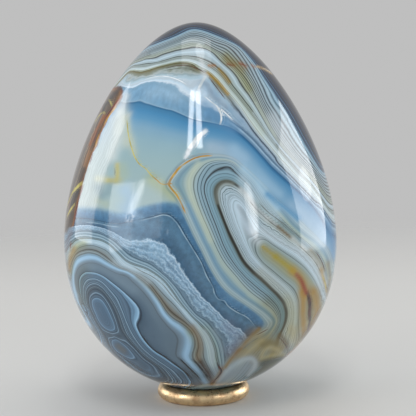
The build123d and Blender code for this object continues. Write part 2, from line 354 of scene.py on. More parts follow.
RUST_LINES = [
    (1.8, [(123, 94.6), (115.2, 104), (107.8, 114.2), (103.4, 120.6)]),
    (1.5, [(98.6, 127.6), (96.6, 132.6), (94.8, 138), (92.4, 145)]),
    (1.4, [(93.6, 151), (91.6, 158), (89.4, 166)]),
    (0.9, [(225, 63.4), (230, 65), (235, 65.4)]),
    (0.9, [(237.6, 62.4), (242, 64.4), (248, 66)]),
    (0.9, [(250.6, 64.6), (253, 66.6), (256, 67.4)]),
    (1.3, [(84.8, 181.6), (79.4, 198), (75.8, 210.5), (73.8, 222)]),
    (1.8, [(71.6, 240), (70.4, 246), (69.8, 252)]),
]
DARK_LINES = [
    (3.0, [(307, 289), (308.6, 297), (310, 305), (309.2, 313), (309.8, 320), (308.8, 327), (308.6, 336)]),
    (1.3, [(216, 361), (219, 366.6), (221.4, 371), (218.6, 376), (214, 381), (210, 386)]),
    (0.8, [(314.6, 250), (321, 260), (325.6, 273)]),
    (0.6, [(255, 336), (263.5, 331.5), (270.4, 327.7)]),
    (0.7, [(208, 76), (214, 84), (220, 92), (226.6, 101)]),
    (0.6, [(164, 68.4), (176, 66), (185, 65.4), (193, 67), (200, 70), (206, 73.6)]),
    (0.5, [(277, 335.5), (283, 341.5), (287, 348), (288, 352)]),
]
SLATE_LINES = [
    (1.2, [(141, 334), (147, 342.4), (155, 350.3), (165, 356.6), (172, 361.4), (180, 367.6), (187, 373.6),
           (194, 380.6)]),
    (1.2, [(176.4, 355.4), (183, 361.8), (189, 367.8), (195.3, 374), (202, 381.6)]),
    (1.6, [(190.6, 357.6), (195.6, 362.2), (200.6, 367.8), (205.6, 374), (210, 381)]),
]
GREY_LINES = [
    (0.7, [(249, 200), (254, 206.4), (262, 214.6), (272, 223.4), (283, 231.4)]),
    (0.6, [(258, 202), (268, 212), (280, 221), (292, 230.6), (304, 241)]),
    (0.7, [(297, 244), (306, 252), (315, 262), (322, 275)]),
    (0.6, [(131, 265), (141, 271), (152, 276.4), (162, 284), (172, 296), (184, 309.6)]),
    (0.7, [(240, 352), (250, 343), (260, 336.6)]),
    (0.8, [(114.4, 167), (115, 172), (114, 177)]),
    (0.6, [(162, 71), (174, 69), (185, 68.2), (192, 70), (198.5, 73)]),
]
PALE_LINES = [
    (0.6, [(262, 68), (268, 70.4), (273, 74)]),
    # The next two are a painted highlight: the bright diagonal slash across the front strips' reflections
    (2.4, [(209, 129), (204, 132), (198, 137.4), (192.6, 144.6), (188.4, 151), (185, 157)]),
    (1.6, [(201, 129), (199.4, 137), (196, 145), (190, 152), (183, 160)]),
    (1.1, [(215.6, 102), (218, 108), (220.6, 113.6), (221.4, 119), (219.4, 126)]),
    (1.5, [(207, 73), (204.4, 78), (200, 86), (197.6, 92)]),
    (0.8, [(203, 95), (212, 102.4), (222, 110), (234, 121)]),
    (0.6, [(144, 79.6), (154, 77), (165, 76.2), (175, 78.6), (182, 81.6), (188, 85.4)]),
]
FROST_LINES = [
    (0.65, [(138, 221.4), (155, 217), (163, 215), (169, 216), (175, 221), (184, 235), (192, 248),
            (200.6, 262), (207, 277), (213, 288), (214.6, 294), (219, 299.6), (224, 300.6), (228, 306),
            (236, 311.6), (247, 317.4), (256, 327)]),
    (0.5, [(84, 222), (98, 223.4), (110, 226), (122, 227.4)]),
    (0.8, [(212, 99), (222, 106.4), (234, 116.6), (246, 128.6), (256, 139.6)]),
]
# Stains that tint the bands below them, with one painted shade near the ring: strength, radius in pixels,
# colour, points along the stain
TINTS = [
    (0.6, 5, (160, 150, 100), [(227, 56), (235, 64), (243, 76), (249, 88)]),
    (0.3, 6, (168, 162, 124), [(222, 76), (236, 92), (250, 110), (262, 130)]),
    (0.55, 7, (190, 172, 116), [(152, 180), (163, 188), (174, 196)]),
    (0.6, 6, (150, 144, 112), [(258, 205), (268, 216), (280, 226), (292, 238)]),
    (0.7, 3.5, (152, 124, 92), [(138, 278), (150, 287.6), (160, 299), (169, 310), (181, 320.6), (191, 332)]),
    (0.6, 5.5, (164, 146, 112), [(191, 332), (197, 346), (198, 360)]),
    (0.7, 5, (176, 156, 96), [(70, 270), (71, 258), (76, 248), (83, 244)]),
    (0.5, 8, (176, 164, 128), [(206, 332), (213, 346), (215, 360)]),
    (0.9, 10, (158, 146, 126), [(270, 304), (278, 316), (274, 330), (264, 340)]),
    # Painted shade: darker at the egg's bottom just above the ring, where ring and underside shade it
    (0.6, 7, (116, 113, 107), [(186, 374), (203, 376), (216, 372)]),
    (0.6, 8, (172, 162, 132), [(288, 300), (294, 318), (292, 338)]),
    (0.6, 6, (160, 152, 124), [(85, 270), (79.6, 284), (83, 302)]),
    (0.5, 5, (132, 134, 114), [(164, 67), (178, 66), (190, 68.6)]),
]
# Stains that cover them, in the same columns, with a few painted highlights among them. Later ones lie over
# earlier ones.
PAINTS = [
    # Blue layer, crown and slate layer
    (0.55, 7, (98, 142, 182), [(209, 114), (222, 121), (233, 129)]),
    (0.65, 6, (96, 140, 176), [(204, 104), (211, 111), (216, 118)]),
    (0.4, 8, (186, 200, 216), [(212, 148), (226, 150), (241, 159)]),
    (0.7, 5.5, (110, 144, 174), [(205, 84), (212, 92), (220, 102), (228, 112)]),
    (0.4, 7, (170, 198, 218), [(150, 94), (162, 92), (176, 97)]),
    (0.5, 7, (200, 210, 217), [(273, 118), (282, 137), (292, 156), (302, 174)]),
    (0.6, 1.8, (178, 197, 204), [(152, 53.4), (160, 50.8), (170, 47), (182, 42.6), (192, 40.8), (203, 43)]),
    (0.55, 2.4, (94, 114, 124), [(150, 52), (160, 48.6), (172, 44), (184, 39.2), (193, 36.6), (203, 38.6)]),
    (0.55, 1.6, (188, 207, 217), [(254, 112.6), (260, 121.4), (267, 131.6), (275, 142.4)]),
    (0.5, 1.5, (182, 195, 187), [(256, 102.6), (262, 113), (268, 123.6), (275, 135)]),
    (0.8, 2.1, (148, 122, 38), [(219, 69), (224, 75), (229, 82)]),
    (0.85, 1.6, (172, 138, 32), [(207.6, 73), (215, 79), (222.6, 87), (228, 94)]),
    (0.55, 5.0, (124, 110, 62), [(227, 60), (235, 63), (243, 68)]),
    (0.75, 1.6, (164, 112, 56), [(209, 65.6), (214.6, 65.6)]),
    (0.65, 1.8, (134, 92, 52), [(228, 64), (234, 65.4)]),
    (0.65, 1.8, (146, 94, 56), [(240, 63), (246, 66)]),
    (0.65, 1.6, (156, 110, 70), [(252, 65), (254.6, 67)]),
    (0.95, 1.4, (204, 176, 128), [(257.6, 66.6), (264, 68.8), (271, 73)]),
    (0.4, 6, (152, 186, 210), [(127, 240), (140, 243), (152, 247), (162, 253)]),
    (0.4, 9, (106, 144, 174), [(118, 230), (138, 230), (157, 229)]),
    # Pale patch on the crown: partly the stone's own pale cloud, partly painted highlight that carries the
    # crown's glow further down
    (0.6, 3.0, (220, 227, 231), [(202, 64), (203, 70), (205, 76)]),
    # Painted highlight: the bright diagonal slash across the front strips' reflections
    (0.7, 2.4, (226, 234, 239), [(205, 131), (198, 139), (191, 148), (186, 156)]),
    # Yellow stain and pale veil on the left
    (0.85, 2.8, (196, 182, 96), [(117.4, 165), (117.8, 173), (117.4, 181)]),
    (0.8, 3.2, (186, 176, 100), [(108, 180.4), (114, 180.8), (120, 180.4)]),
    (0.5, 3.5, (222, 220, 184), [(98, 179), (104, 179.6)]),
    (0.5, 5.0, (170, 186, 156), [(123, 167), (124.4, 175), (122, 182)]),
    (0.5, 4.0, (124, 150, 160), [(110, 186), (108, 193)]),
    (0.45, 4.0, (176, 186, 160), [(98, 200), (106, 204)]),
    (0.65, 8.0, (150, 184, 212), [(125, 189), (130, 200), (125, 209)]),
    (0.45, 6.0, (150, 184, 212), [(130, 212), (138, 217)]),
    (0.5, 5.0, (110, 140, 156), [(99, 188), (102, 196)]),
    (0.5, 4.0, (78, 112, 144), [(98, 212), (106, 214)]),
    (0.5, 7.0, (204, 206, 184), [(124, 112), (121, 126), (126, 142)]),
    (0.6, 4.2, (206, 213, 214), [(126.5, 96), (123.5, 103.5), (118.5, 112)]),
    (0.75, 6.0, (206, 216, 215), [(121.5, 114), (119.5, 128), (116.5, 142), (112.5, 156)]),
    (0.5, 4.0, (196, 202, 178), [(126, 118), (129.5, 136), (134, 152)]),
    # Tongue: cream and blue stripes, pale right flank, worn dark band
    (0.5, 3.4, (194, 204, 182), [(198, 163), (193, 171.6), (189.6, 181), (190, 192), (194, 204), (203, 222),
                                 (210, 240)]),
    (0.5, 2.8, (112, 154, 188), [(188, 205), (196, 222), (202, 235), (208, 247), (214, 260), (221, 273),
                                 (230, 284), (243, 295)]),
    (0.8, 7, (150, 185, 210), [(234, 150), (250, 164), (264, 180), (278, 194)]),
    (0.85, 5.0, (166, 201, 225), [(244, 169), (256, 183), (265, 194.6), (277, 207)]),
    (0.6, 6, (188, 210, 222), [(243, 180), (251, 190), (258, 200), (266, 209), (276, 218)]),
    (0.7, 2.6, (130, 137, 130), [(217.6, 202), (216.8, 195), (217.4, 189.6), (220.6, 184.8), (226, 182.8),
                                 (232, 184)]),
    (0.95, 3.4, (190, 203, 208), [(241, 190), (247.6, 197.6), (257, 209.6), (268, 219.4)]),
    (0.7, 3.0, (188, 198, 198), [(268, 219.4), (279, 227.6), (289.6, 236.6)]),
    (0.95, 1.8, (112, 92, 32), [(278, 227), (284, 232), (291, 238)]),
    (0.95, 3.0, (192, 202, 202), [(293, 239), (301, 246.6), (312, 257), (320.4, 269), (326, 284)]),
    # Painted highlight: the lower end of the right pane's glare
    (0.6, 5.0, (200, 211, 218), [(250, 229), (254, 236), (258, 241)]),
    (0.75, 5.5, (190, 208, 222), [(240, 208), (243.5, 217), (248, 228)]),
    (0.5, 5.5, (170, 175, 162), [(262, 271), (274, 282), (284, 291), (291, 303)]),
    (0.5, 4.5, (196, 208, 214), [(262, 230), (275, 238), (290, 246.6), (303, 256), (313, 268), (321, 286)]),
    (0.6, 5.0, (172, 174, 150), [(292.4, 306), (292, 320), (290, 334)]),
    (0.6, 9.0, (162, 189, 212), [(292, 206), (304, 216), (316, 230), (325, 246)]),
    (0.8, 3.5, (88, 148, 192), [(268, 194.5), (276, 200.5), (286, 208.5), (298, 218.5)]),
    (0.6, 5.0, (92, 142, 186), [(329, 224), (332, 240), (333, 256)]),
    # Mustard, gold and red on the right
    (0.85, 2.0, (160, 146, 64), [(263, 247), (269, 251.6), (276, 257)]),
    (0.9, 3.8, (160, 148, 62), [(276, 257), (285, 264), (293, 270.6)]),
    (0.9, 4.6, (170, 142, 64), [(293, 271), (299, 276.6), (303, 285), (304, 295)]),
    (0.88, 4.0, (168, 132, 62), [(303, 293), (303, 311), (304, 334)]),
    (0.9, 5.8, (158, 124, 56), [(314, 292), (317, 306), (315, 321), (308, 338)]),
    (0.95, 2.6, (140, 66, 58), [(297, 275), (301, 280), (304, 287), (306.5, 293)]),
    (0.7, 3.0, (152, 146, 122), [(311, 250), (318, 259), (323, 270)]),
    (0.7, 2.2, (172, 140, 76), [(321, 270), (325, 284), (327, 294)]),
    (0.7, 4.0, (136, 120, 80), [(328, 264), (330, 278), (328, 292), (325, 306)]),
    (0.92, 6.5, (120, 94, 40), [(319, 314), (312, 326), (304, 336)]),
    (0.8, 2.2, (64, 42, 24), [(309.6, 299), (310, 308), (309.4, 318)]),
    # Swirl, oval and seam at the lower right
    (0.97, 12, (146, 136, 98), [(258, 345), (268, 346), (279, 349)]),
    (0.95, 10, (138, 130, 98), [(246, 358), (260, 360), (274, 358)]),
    (0.9, 6.5, (152, 141, 102), [(258, 336), (248, 345), (241, 352.6), (233, 362)]),
    (0.5, 2.0, (178, 168, 126), [(262, 340), (252, 348), (244, 356), (236, 364)]),
    (0.6, 6.0, (174, 160, 114), [(293, 330), (294, 338), (297, 345)]),
    (0.7, 2.2, (178, 170, 128), [(261, 358), (264, 351), (270, 347.6), (277, 349.6), (283, 355)]),
    (0.6, 3.0, (120, 112, 80), [(263, 345), (270, 342), (278, 344)]),
    (0.8, 2.6, (108, 92, 64), [(280, 334.6), (284, 340), (287.4, 345.6), (288.2, 352)]),
    (0.95, 3.4, (198, 124, 56), [(283.6, 358.4), (292, 351.4), (303, 340.4)]),
    (0.7, 2.2, (180, 168, 112), [(263, 358), (273, 355.4), (284, 355.6)]),
    (0.95, 5.0, (72, 82, 80), [(263, 364), (273, 361.8), (282, 359.6)]),
    (0.95, 7.5, (88, 86, 62), [(254, 374), (263, 370.4), (273, 365.6)]),
    (0.97, 10, (144, 157, 166), [(220, 382), (229, 375), (238, 370), (246, 366.4)]),
    (0.95, 2.8, (172, 185, 193), [(218, 380), (224, 373.6), (230.6, 367.8), (238.3, 362.6), (246, 359.2),
                                  (252.4, 359), (255.2, 362.4), (254, 368), (248.6, 375)]),
    (0.55, 4.5, (106, 96, 92), [(251, 331), (244, 339), (237, 346.6), (230, 354)]),
    (0.9, 2.0, (140, 110, 54), [(259, 329), (249, 338.6), (242.6, 346.4), (236.4, 352.6), (231, 359),
                               (225.6, 367)]),
    (0.8, 3.2, (74, 60, 40), [(201, 362), (208, 372), (212, 382)]),
    (0.75, 2.6, (140, 104, 44), [(222, 369), (218, 376.6), (212, 384)]),
    # Iron stained strip on the left edge
    (0.9, 3.6, (68, 64, 66), [(119, 89), (114, 94), (110.4, 98)]),
    (0.9, 3.8, (44, 48, 54), [(107.4, 102), (104.8, 106), (103, 110)]),
    (0.85, 2.4, (152, 92, 52), [(104, 116), (100, 123.6), (95.8, 130.5), (92.2, 138.6), (90, 144.4)]),
    (0.85, 2.8, (112, 104, 98), [(93, 127), (89, 134), (86, 142)]),
    (0.85, 3.2, (150, 112, 80), [(89.4, 151), (87, 158), (85, 165)]),
    (0.85, 4.4, (82, 74, 70), [(83.4, 171), (80.6, 178)]),
    (0.9, 3.6, (60, 64, 70), [(78, 191.4), (75, 197), (72.2, 204)]),
    (0.85, 3.8, (76, 68, 62), [(72, 215), (69.4, 222), (67, 231)]),
    (0.7, 3.5, (118, 112, 122), [(71, 232), (68.6, 240), (66, 250)]),
    (0.7, 5.0, (112, 112, 102), [(66, 258), (66.6, 272), (69.6, 288), (74, 302)]),
    # Nested bands, eyes and the slate layer's lower end
    (0.4, 7.0, (126, 149, 166), [(90, 267), (104, 271), (118, 278), (133, 289)]),
    (0.75, 3.6, (100, 102, 98), [(118.6, 346.6), (124, 350.8)]),
    (0.7, 3.5, (158, 122, 64), [(69, 267), (70, 258), (73.6, 249.4)]),
    (0.4, 4.0, (178, 198, 210), [(116, 262), (126, 267), (138, 274), (148, 281)]),
    (0.5, 3.5, (142, 124, 102), [(193, 327), (199, 338), (200.5, 350), (198, 358)]),
    (0.7, 2.6, (172, 190, 203), [(204, 332), (210, 343), (212.5, 354), (212, 362)]),
    (0.4, 7.0, (122, 126, 146), [(228, 326), (236, 338), (231, 350)]),
    (0.5, 2.5, (140, 158, 170), [(214, 331), (220, 341), (223, 352)]),
    (0.6, 4.0, (96, 126, 152), [(150, 371), (155, 375.4)]),
]
TINT_GAIN = 2.4  # with it, a tint of middling brightness leaves a band about as bright
# Thin lines by family: two tones, strength, lines
THIN_LINES = {
    "frost_lines": ((164, 192, 210), (128, 158, 180), 0.75, FROST_LINES),
    "amber_lines": ((198, 156, 64), (172, 128, 46), 0.95, AMBER_LINES),
    "yellow_lines": ((200, 190, 108), (170, 160, 88), 0.95, YELLOW_LINES),
    "rust_lines": ((126, 62, 44), (96, 48, 38), 0.9, RUST_LINES),
    "grey_lines": ((116, 124, 122), (96, 98, 90), 0.75, GREY_LINES),
    "dark_lines": ((62, 42, 28), (92, 60, 34), 0.9, DARK_LINES),
    "slate_lines": ((34, 38, 42), (58, 64, 68), 0.95, SLATE_LINES),
    "pale_lines": ((232, 238, 242), (204, 213, 215), 0.95, PALE_LINES),
}
# Small pits in the polish, in pixels
STONE_PITS = [(149, 327), (143, 329.5), (155, 337.5), (129, 218), (166, 232)]
PIT_RADIUS = 1.7  # pixels
PIT_DEPTH = 0.12 * MM

# How curves, lines and stains are laid onto the egg
PIXEL_SIZE = (-CAMERA_PLACE.y - EGG_RADIUS) / MM / FOCAL_LENGTH  # mm on the egg's front for one pixel
EGG_INSIDE = np.array([0, 0, 40.0])  # mm, a place near the egg's middle
OUTLINE_STEPS = 2000
POLE_MARGIN = 1.0  # mm that places behind keep from the poles
CURVE_SPACING = 4.5  # pixels between the places that fix a field
FIELD_SOFTNESS = 1.0  # mm
FIELD_SMOOTHING = 0.03
FIELD_BATCHES = 80  # parts in which a field is worked out
LINE_SPACING = 1.5  # pixels between steps along a thin line
LINE_TAPER = 4  # steps over which it fades at its ends
LINE_REACH = 2.2  # pixels beside it in which it can show
WIDE_LINE_REACH = 1.5  # half widths beside it in which a wide one can show
LINE_FADE = 1.6  # pixels over which it ends there
LINE_SEARCH = 30.0  # mm from its middle in which vertices are tried
LINE_WEAR = 0.6  # share of its strength that is left where it is worn
FAR_FROM_LINES = 9.0  # half widths
STAIN_SPACING = 2.0  # pixels between the spots that make up a stain
STAIN_STRETCH = 2.2  # how far a stain may stretch where the egg turns away
LEAST_COVER = 1e-6  # keeps the colour of a bare place from a division by 0

# Colours of the stone's other marks and of the brass, as they show on a screen
VEIL_COLOUR = (200, 208, 208)
CRYSTAL_COLOUR = (190, 210, 226)
RUST_COLOUR = (116, 66, 40)
BRASS_COLOUR = (240, 212, 168)
TARNISH_COLOUR = (196, 160, 120)
SPOT_COLOUR = (96, 72, 48)

FLANK_START = (4.5 * MM, 9.0 * MM)  # sideways from the middle
POLISH_SHEEN = 0.03  # light that the polish adds to every colour, taken off the stone's own
DARKEST_STONE = 0.2 * POLISH_SHEEN
RAMP_STOPS = 31  # in one colour ramp
DRIFT_RATE = 0.9  # changes of the fine lines' spacing for each line
DRIFT_SIZE = 9.0  # radians by which that shifts them
WAVE_CLIP = 0.8  # part of a wave's height that the fine lines show
MIX_SOCKETS = {"FLOAT": (2, 3, 0), "RGBA": (6, 7, 2)}  # first, second and result of a mix node


def screen_colour(colour):
    """The linear colour, with alpha, of one given as it shows on a screen, 0 to 255."""
    return (*Color([part / 255 for part in colour]).from_srgb_to_scene_linear(), 1.0)


def stone_colour(colour):
    """The linear colour of the stone that shows as the given one under its polish."""
    linear = [max(part - POLISH_SHEEN, DARKEST_STONE) for part in screen_colour(colour)[:3]]
    return (*linear, 1.0)


def with_lines(bands, lines):
    """Stops of a colour ramp: the bands' colours, with thin lines laid over them."""
    levels = [level for level, tone in bands]
    tones = np.array([tone for level, tone in bands])
    stops = [stop for stop in bands if all(abs(stop[0] - level) > half for level, half, tone in lines)]
    for level, half, tone in lines:
        stops.append((level, tone))
        for edge in (level - half, level + half):
            stops.append((edge, tuple(float(np.interp(edge, levels, part)) for part in tones.T)))
    return sorted(stops)


def camera_axes():
    """Right, up and forward of the camera."""
    forward = Vector((0, math.cos(CAMERA_PITCH), -math.sin(CAMERA_PITCH)))
    level_up = Vector((0, math.sin(CAMERA_PITCH), math.cos(CAMERA_PITCH)))
    level_right = Vector((1, 0, 0))
    right = level_right * math.cos(CAMERA_ROLL) - level_up * math.sin(CAMERA_ROLL)
    up = level_right * math.sin(CAMERA_ROLL) + level_up * math.cos(CAMERA_ROLL)
    return right, up, forward


def pixel_ray(pixel):
    """Direction from the camera through a pixel of the photograph."""
    right, up, forward = camera_axes()
    across = pixel[0] - PHOTO_SIZE / 2 + IMAGE_SHIFT
    down = pixel[1] - PHOTO_SIZE / 2
    return (forward * FOCAL_LENGTH + right * across - up * down).normalized()


def seen_pixels(places):
    """Pixels of the photograph in which places would show if nothing hid them."""
    right, up, forward = (np.array(axis) for axis in camera_axes())
    offset = places - np.array(CAMERA_PLACE)
    scale = FOCAL_LENGTH / (offset @ forward)
    across = offset @ right * scale + PHOTO_SIZE / 2 - IMAGE_SHIFT
    down = PHOTO_SIZE / 2 - offset @ up * scale
    return np.column_stack([across, down])


def lengths_along(points):
    """Length of the way through the points up to each of them."""
    return np.append(0, np.cumsum(np.linalg.norm(np.diff(points, axis=0), axis=1)))


def bezier(start, first, second, end):
    """Points along a cubic curve."""
    t = np.linspace(0, 1, OUTLINE_STEPS)[:, None]
    start, first, second, end = (np.array(point) for point in (start, first, second, end))
    return (1 - t) ** 3 * start + 3 * t * (1 - t) ** 2 * first + 3 * t**2 * (1 - t) * second + t**3 * end


def egg_outline(rows):
    """Radius and height of the egg's outline, from the bottom pole to the tip, at even steps along it."""
    belly = (EGG_RADIUS, BELLY_HEIGHT)
    below = (EGG_RADIUS, BELLY_HEIGHT - FLANK_REACH)
    above = (EGG_RADIUS, BELLY_HEIGHT + SHOULDER_REACH)
    lower = bezier((0, 0), (BASE_REACH, 0), below, belly)
    upper = bezier(belly, above, (CROWN_REACH, EGG_HEIGHT), (0, EGG_HEIGHT))
    outline = np.concatenate([lower, upper[1:]])
    along = lengths_along(outline)
    steps = np.linspace(0, along[-1], rows)
    radius = np.interp(steps, along, outline[:, 0])
    height = np.interp(steps, along, outline[:, 1]) + EGG_POLE
    return radius, height


def egg_grid():
    """Vertices, faces and the map corners of the egg: rows of quads between a fan at each pole."""
    radius, height = egg_outline(EGG_ROWS)
    share = np.arange(EGG_COLUMNS + 1) / EGG_COLUMNS
    turn = (share - 0.5) * 2 * math.pi
    azimuth = turn - FRONT_DENSITY * np.sin(turn)
    ring_x, ring_y = np.sin(azimuth[:-1]), -np.cos(azimuth[:-1])
    verts = [(0, 0, height[0])]
    for r, z in zip(radius[1:-1], height[1:-1]):
        verts.extend(zip(r * ring_x, r * ring_y, np.full(EGG_COLUMNS, z)))
    verts.append((0, 0, height[-1]))
    faces, corners = [], []
    rise = np.arange(EGG_ROWS) / (EGG_ROWS - 1)
    top = len(verts) - 1
    last_ring = top - EGG_COLUMNS
    for column in range(EGG_COLUMNS):
        beside = (column + 1) % EGG_COLUMNS
        left, right = share[column], share[column + 1]
        middle = (left + right) / 2
        faces.append((0, 1 + beside, 1 + column))
        corners.extend([(middle, 0), (right, rise[1]), (left, rise[1])])
        for low, under, over in zip(range(1, last_ring, EGG_COLUMNS), rise[1:], rise[2:]):
            high = low + EGG_COLUMNS
            faces.append((low + column, low + beside, high + beside, high + column))
            corners.extend([(left, under), (right, under), (right, over), (left, over)])
        faces.append((last_ring + column, last_ring + beside, top))
        corners.extend([(left, rise[-2]), (right, rise[-2]), (middle, 1)])
    return np.array(verts, float), faces, corners


def smooth_path(points, spacing):
    """Three or more points, evenly spaced along a smooth curve through given ones."""
    points = np.array(points, float)
    knots = lengths_along(points)
    slopes = np.gradient(points, knots, axis=0)
    where = np.linspace(0, knots[-1], max(3, round(knots[-1] / spacing) + 1))
    span = np.clip(np.searchsorted(knots, where, side="right") - 1, 0, len(knots) - 2)
    width = (knots[span + 1] - knots[span])[:, None]
    t = (where - knots[span])[:, None] / width
    from_start = (1 + 2 * t) * (1 - t) ** 2 * points[span] + t * (1 - t) ** 2 * width * slopes[span]
    to_end = t**2 * (3 - 2 * t) * points[span + 1] + t**2 * (t - 1) * width * slopes[span + 1]
    return from_start + to_end


def squared_gaps(some, others):
    """Squared distance of each of some places from each of the others."""
    return ((some[:, None] - others[None]) ** 2).sum(axis=2)


class Stone:
    """The egg's surface, on which pattern is laid by pixels of the photograph."""

    def __init__(self):
        self.verts, self.faces, self.corners = egg_grid()
        self.tree = BVHTree.FromPolygons(self.verts.tolist(), self.faces)
        self.outline = egg_outline(OUTLINE_STEPS)
        self.mm = self.verts / MM
        self.pixels = seen_pixels(self.verts)

    def under_pixel(self, pixel):
        """Place in mm on the egg that a pixel shows, or nearest to its line of sight."""
        ray = pixel_ray(pixel)
        hit = self.tree.ray_cast(CAMERA_PLACE, ray)[0]
        if hit is None:
            abreast = CAMERA_PLACE + ray * -CAMERA_PLACE.dot(ray)
            hit = self.tree.find_nearest(abreast)[0]
        return np.array(hit) / MM

    def places(self, pixels):
        """Places in mm of several pixels."""
        return np.array([self.under_pixel(pixel) for pixel in pixels])

    def behind(self, azimuth, height):
        """Place in mm at an azimuth in degrees and a height in mm."""
        radius = np.interp(height * MM, self.outline[1], self.outline[0]) / MM
        turn = math.radians(azimuth)
        return np.array([radius * math.sin(turn), -radius * math.cos(turn), height])

    def field(self, curves, behind):
        """Smooth level at each vertex that agrees with the curves and with the places behind."""
        places, levels = [], []
        for level, points in curves:
            on_egg = self.places(smooth_path(points, CURVE_SPACING))
            places.extend(on_egg)
            levels.extend([level] * len(on_egg))
        for azimuth, height, level in behind:
            places.append(self.behind(azimuth, height))
            levels.append(level)
        places = np.array(places)
        count = len(places)

        def pull(spots):
            """How each of the places bears on each of the spots."""
            return -np.sqrt(squared_gaps(spots, places) + FIELD_SOFTNESS**2)

        system = np.ones((count + 1, count + 1))
        system[:count, :count] = pull(places) + FIELD_SMOOTHING * np.eye(count)
        system[count, count] = 0
        weights = np.linalg.solve(system, np.append(levels, 0.0))
        batches = np.array_split(self.mm, FIELD_BATCHES)
        return np.concatenate([pull(batch) @ weights[:count] + weights[count] for batch in batches])

    def lines(self, lines):
        """For each vertex, distance in half widths across the nearest line, and how far that line shows."""
        across = np.full(len(self.mm), FAR_FROM_LINES)
        shown = np.zeros(len(self.mm))
        for half_width, points in lines:
            path = self.places(smooth_path(points, LINE_SPACING))
            width = half_width * PIXEL_SIZE
            near = np.flatnonzero(((self.mm - path.mean(axis=0)) ** 2).sum(axis=1) < LINE_SEARCH**2)
            spots = self.mm[near]
            gaps = np.sqrt(squared_gaps(spots, path))
            step = gaps.argmin(axis=1)
            heading = np.gradient(path, axis=0)[step]
            away = spots - path[step]
            along = (away * heading).sum(axis=1) / (heading**2).sum(axis=1)
            offset = away - heading * along[:, None]
            side = np.sign((np.cross(heading, spots - EGG_INSIDE) * away).sum(axis=1))
            signed = side * np.linalg.norm(offset, axis=1) / width
            taper = np.clip(np.minimum(step, len(path) - 1 - step) / LINE_TAPER, 0, 1)
            reach = max(WIDE_LINE_REACH * width, LINE_REACH * PIXEL_SIZE)
            close = np.clip((reach - gaps.min(axis=1)) / LINE_FADE / PIXEL_SIZE + 1, 0, 1) * taper
            better = close > shown[near]
            across[near[better]] = signed[better]
            shown[near[better]] = close[better]
        return across, shown

    def stains_and_painted_light(self, stains_and_painted_light, gain=1.0):
        """Colour, times a gain, and strength at each vertex of the soft marks: stain colours, and the painted
        shade and highlights among them.
        """
        colour = np.zeros((len(self.mm), 3))
        clear = np.ones(len(self.mm))
        for strength, radius, tone, points in stains_and_painted_light:
            path = smooth_path(points, STAIN_SPACING)
            gaps = np.full(len(self.mm), np.inf)
            for pixel, place in zip(path, self.places(path)):
                seen = ((self.pixels - pixel) ** 2).sum(axis=1)
                solid = ((self.mm - place) ** 2).sum(axis=1) / (STAIN_STRETCH * PIXEL_SIZE) ** 2
                gaps = np.minimum(gaps, np.maximum(seen, solid))
            share = strength * np.exp(-gaps / radius**2)
            colour = colour * (1 - share[:, None]) + np.array(stone_colour(tone)[:3]) * share[:, None]
            clear *= 1 - share
        cover = 1 - clear
        return np.column_stack([gain * colour / np.maximum(cover, LEAST_COVER)[:, None], cover])

    def pitted(self):
        """The vertices, pushed in at the pits."""
        verts = self.verts.copy()
        middle = np.array([0, 0, EGG_POLE + EGG_HEIGHT / 2])
        for place in self.places(STONE_PITS):
            gaps = ((self.mm - place) ** 2).sum(axis=1)
            depth = PIT_DEPTH * np.exp(-gaps / (PIT_RADIUS * PIXEL_SIZE) ** 2)
            inward = middle - verts
            verts += inward * (depth / np.linalg.norm(inward, axis=1))[:, None]
        return verts


def rows_behind(rows):
    """Places behind with their levels, from the height of level 0 at a few azimuths."""
    lowest = EGG_POLE / MM + POLE_MARGIN
    highest = (EGG_POLE + EGG_HEIGHT) / MM - POLE_MARGIN
    found = []
    for azimuth, height, slope in rows:
        for step in BEHIND_STEPS:
            if lowest < height + step < highest:
                found.append((azimuth, height + step, slope * step))
    return found


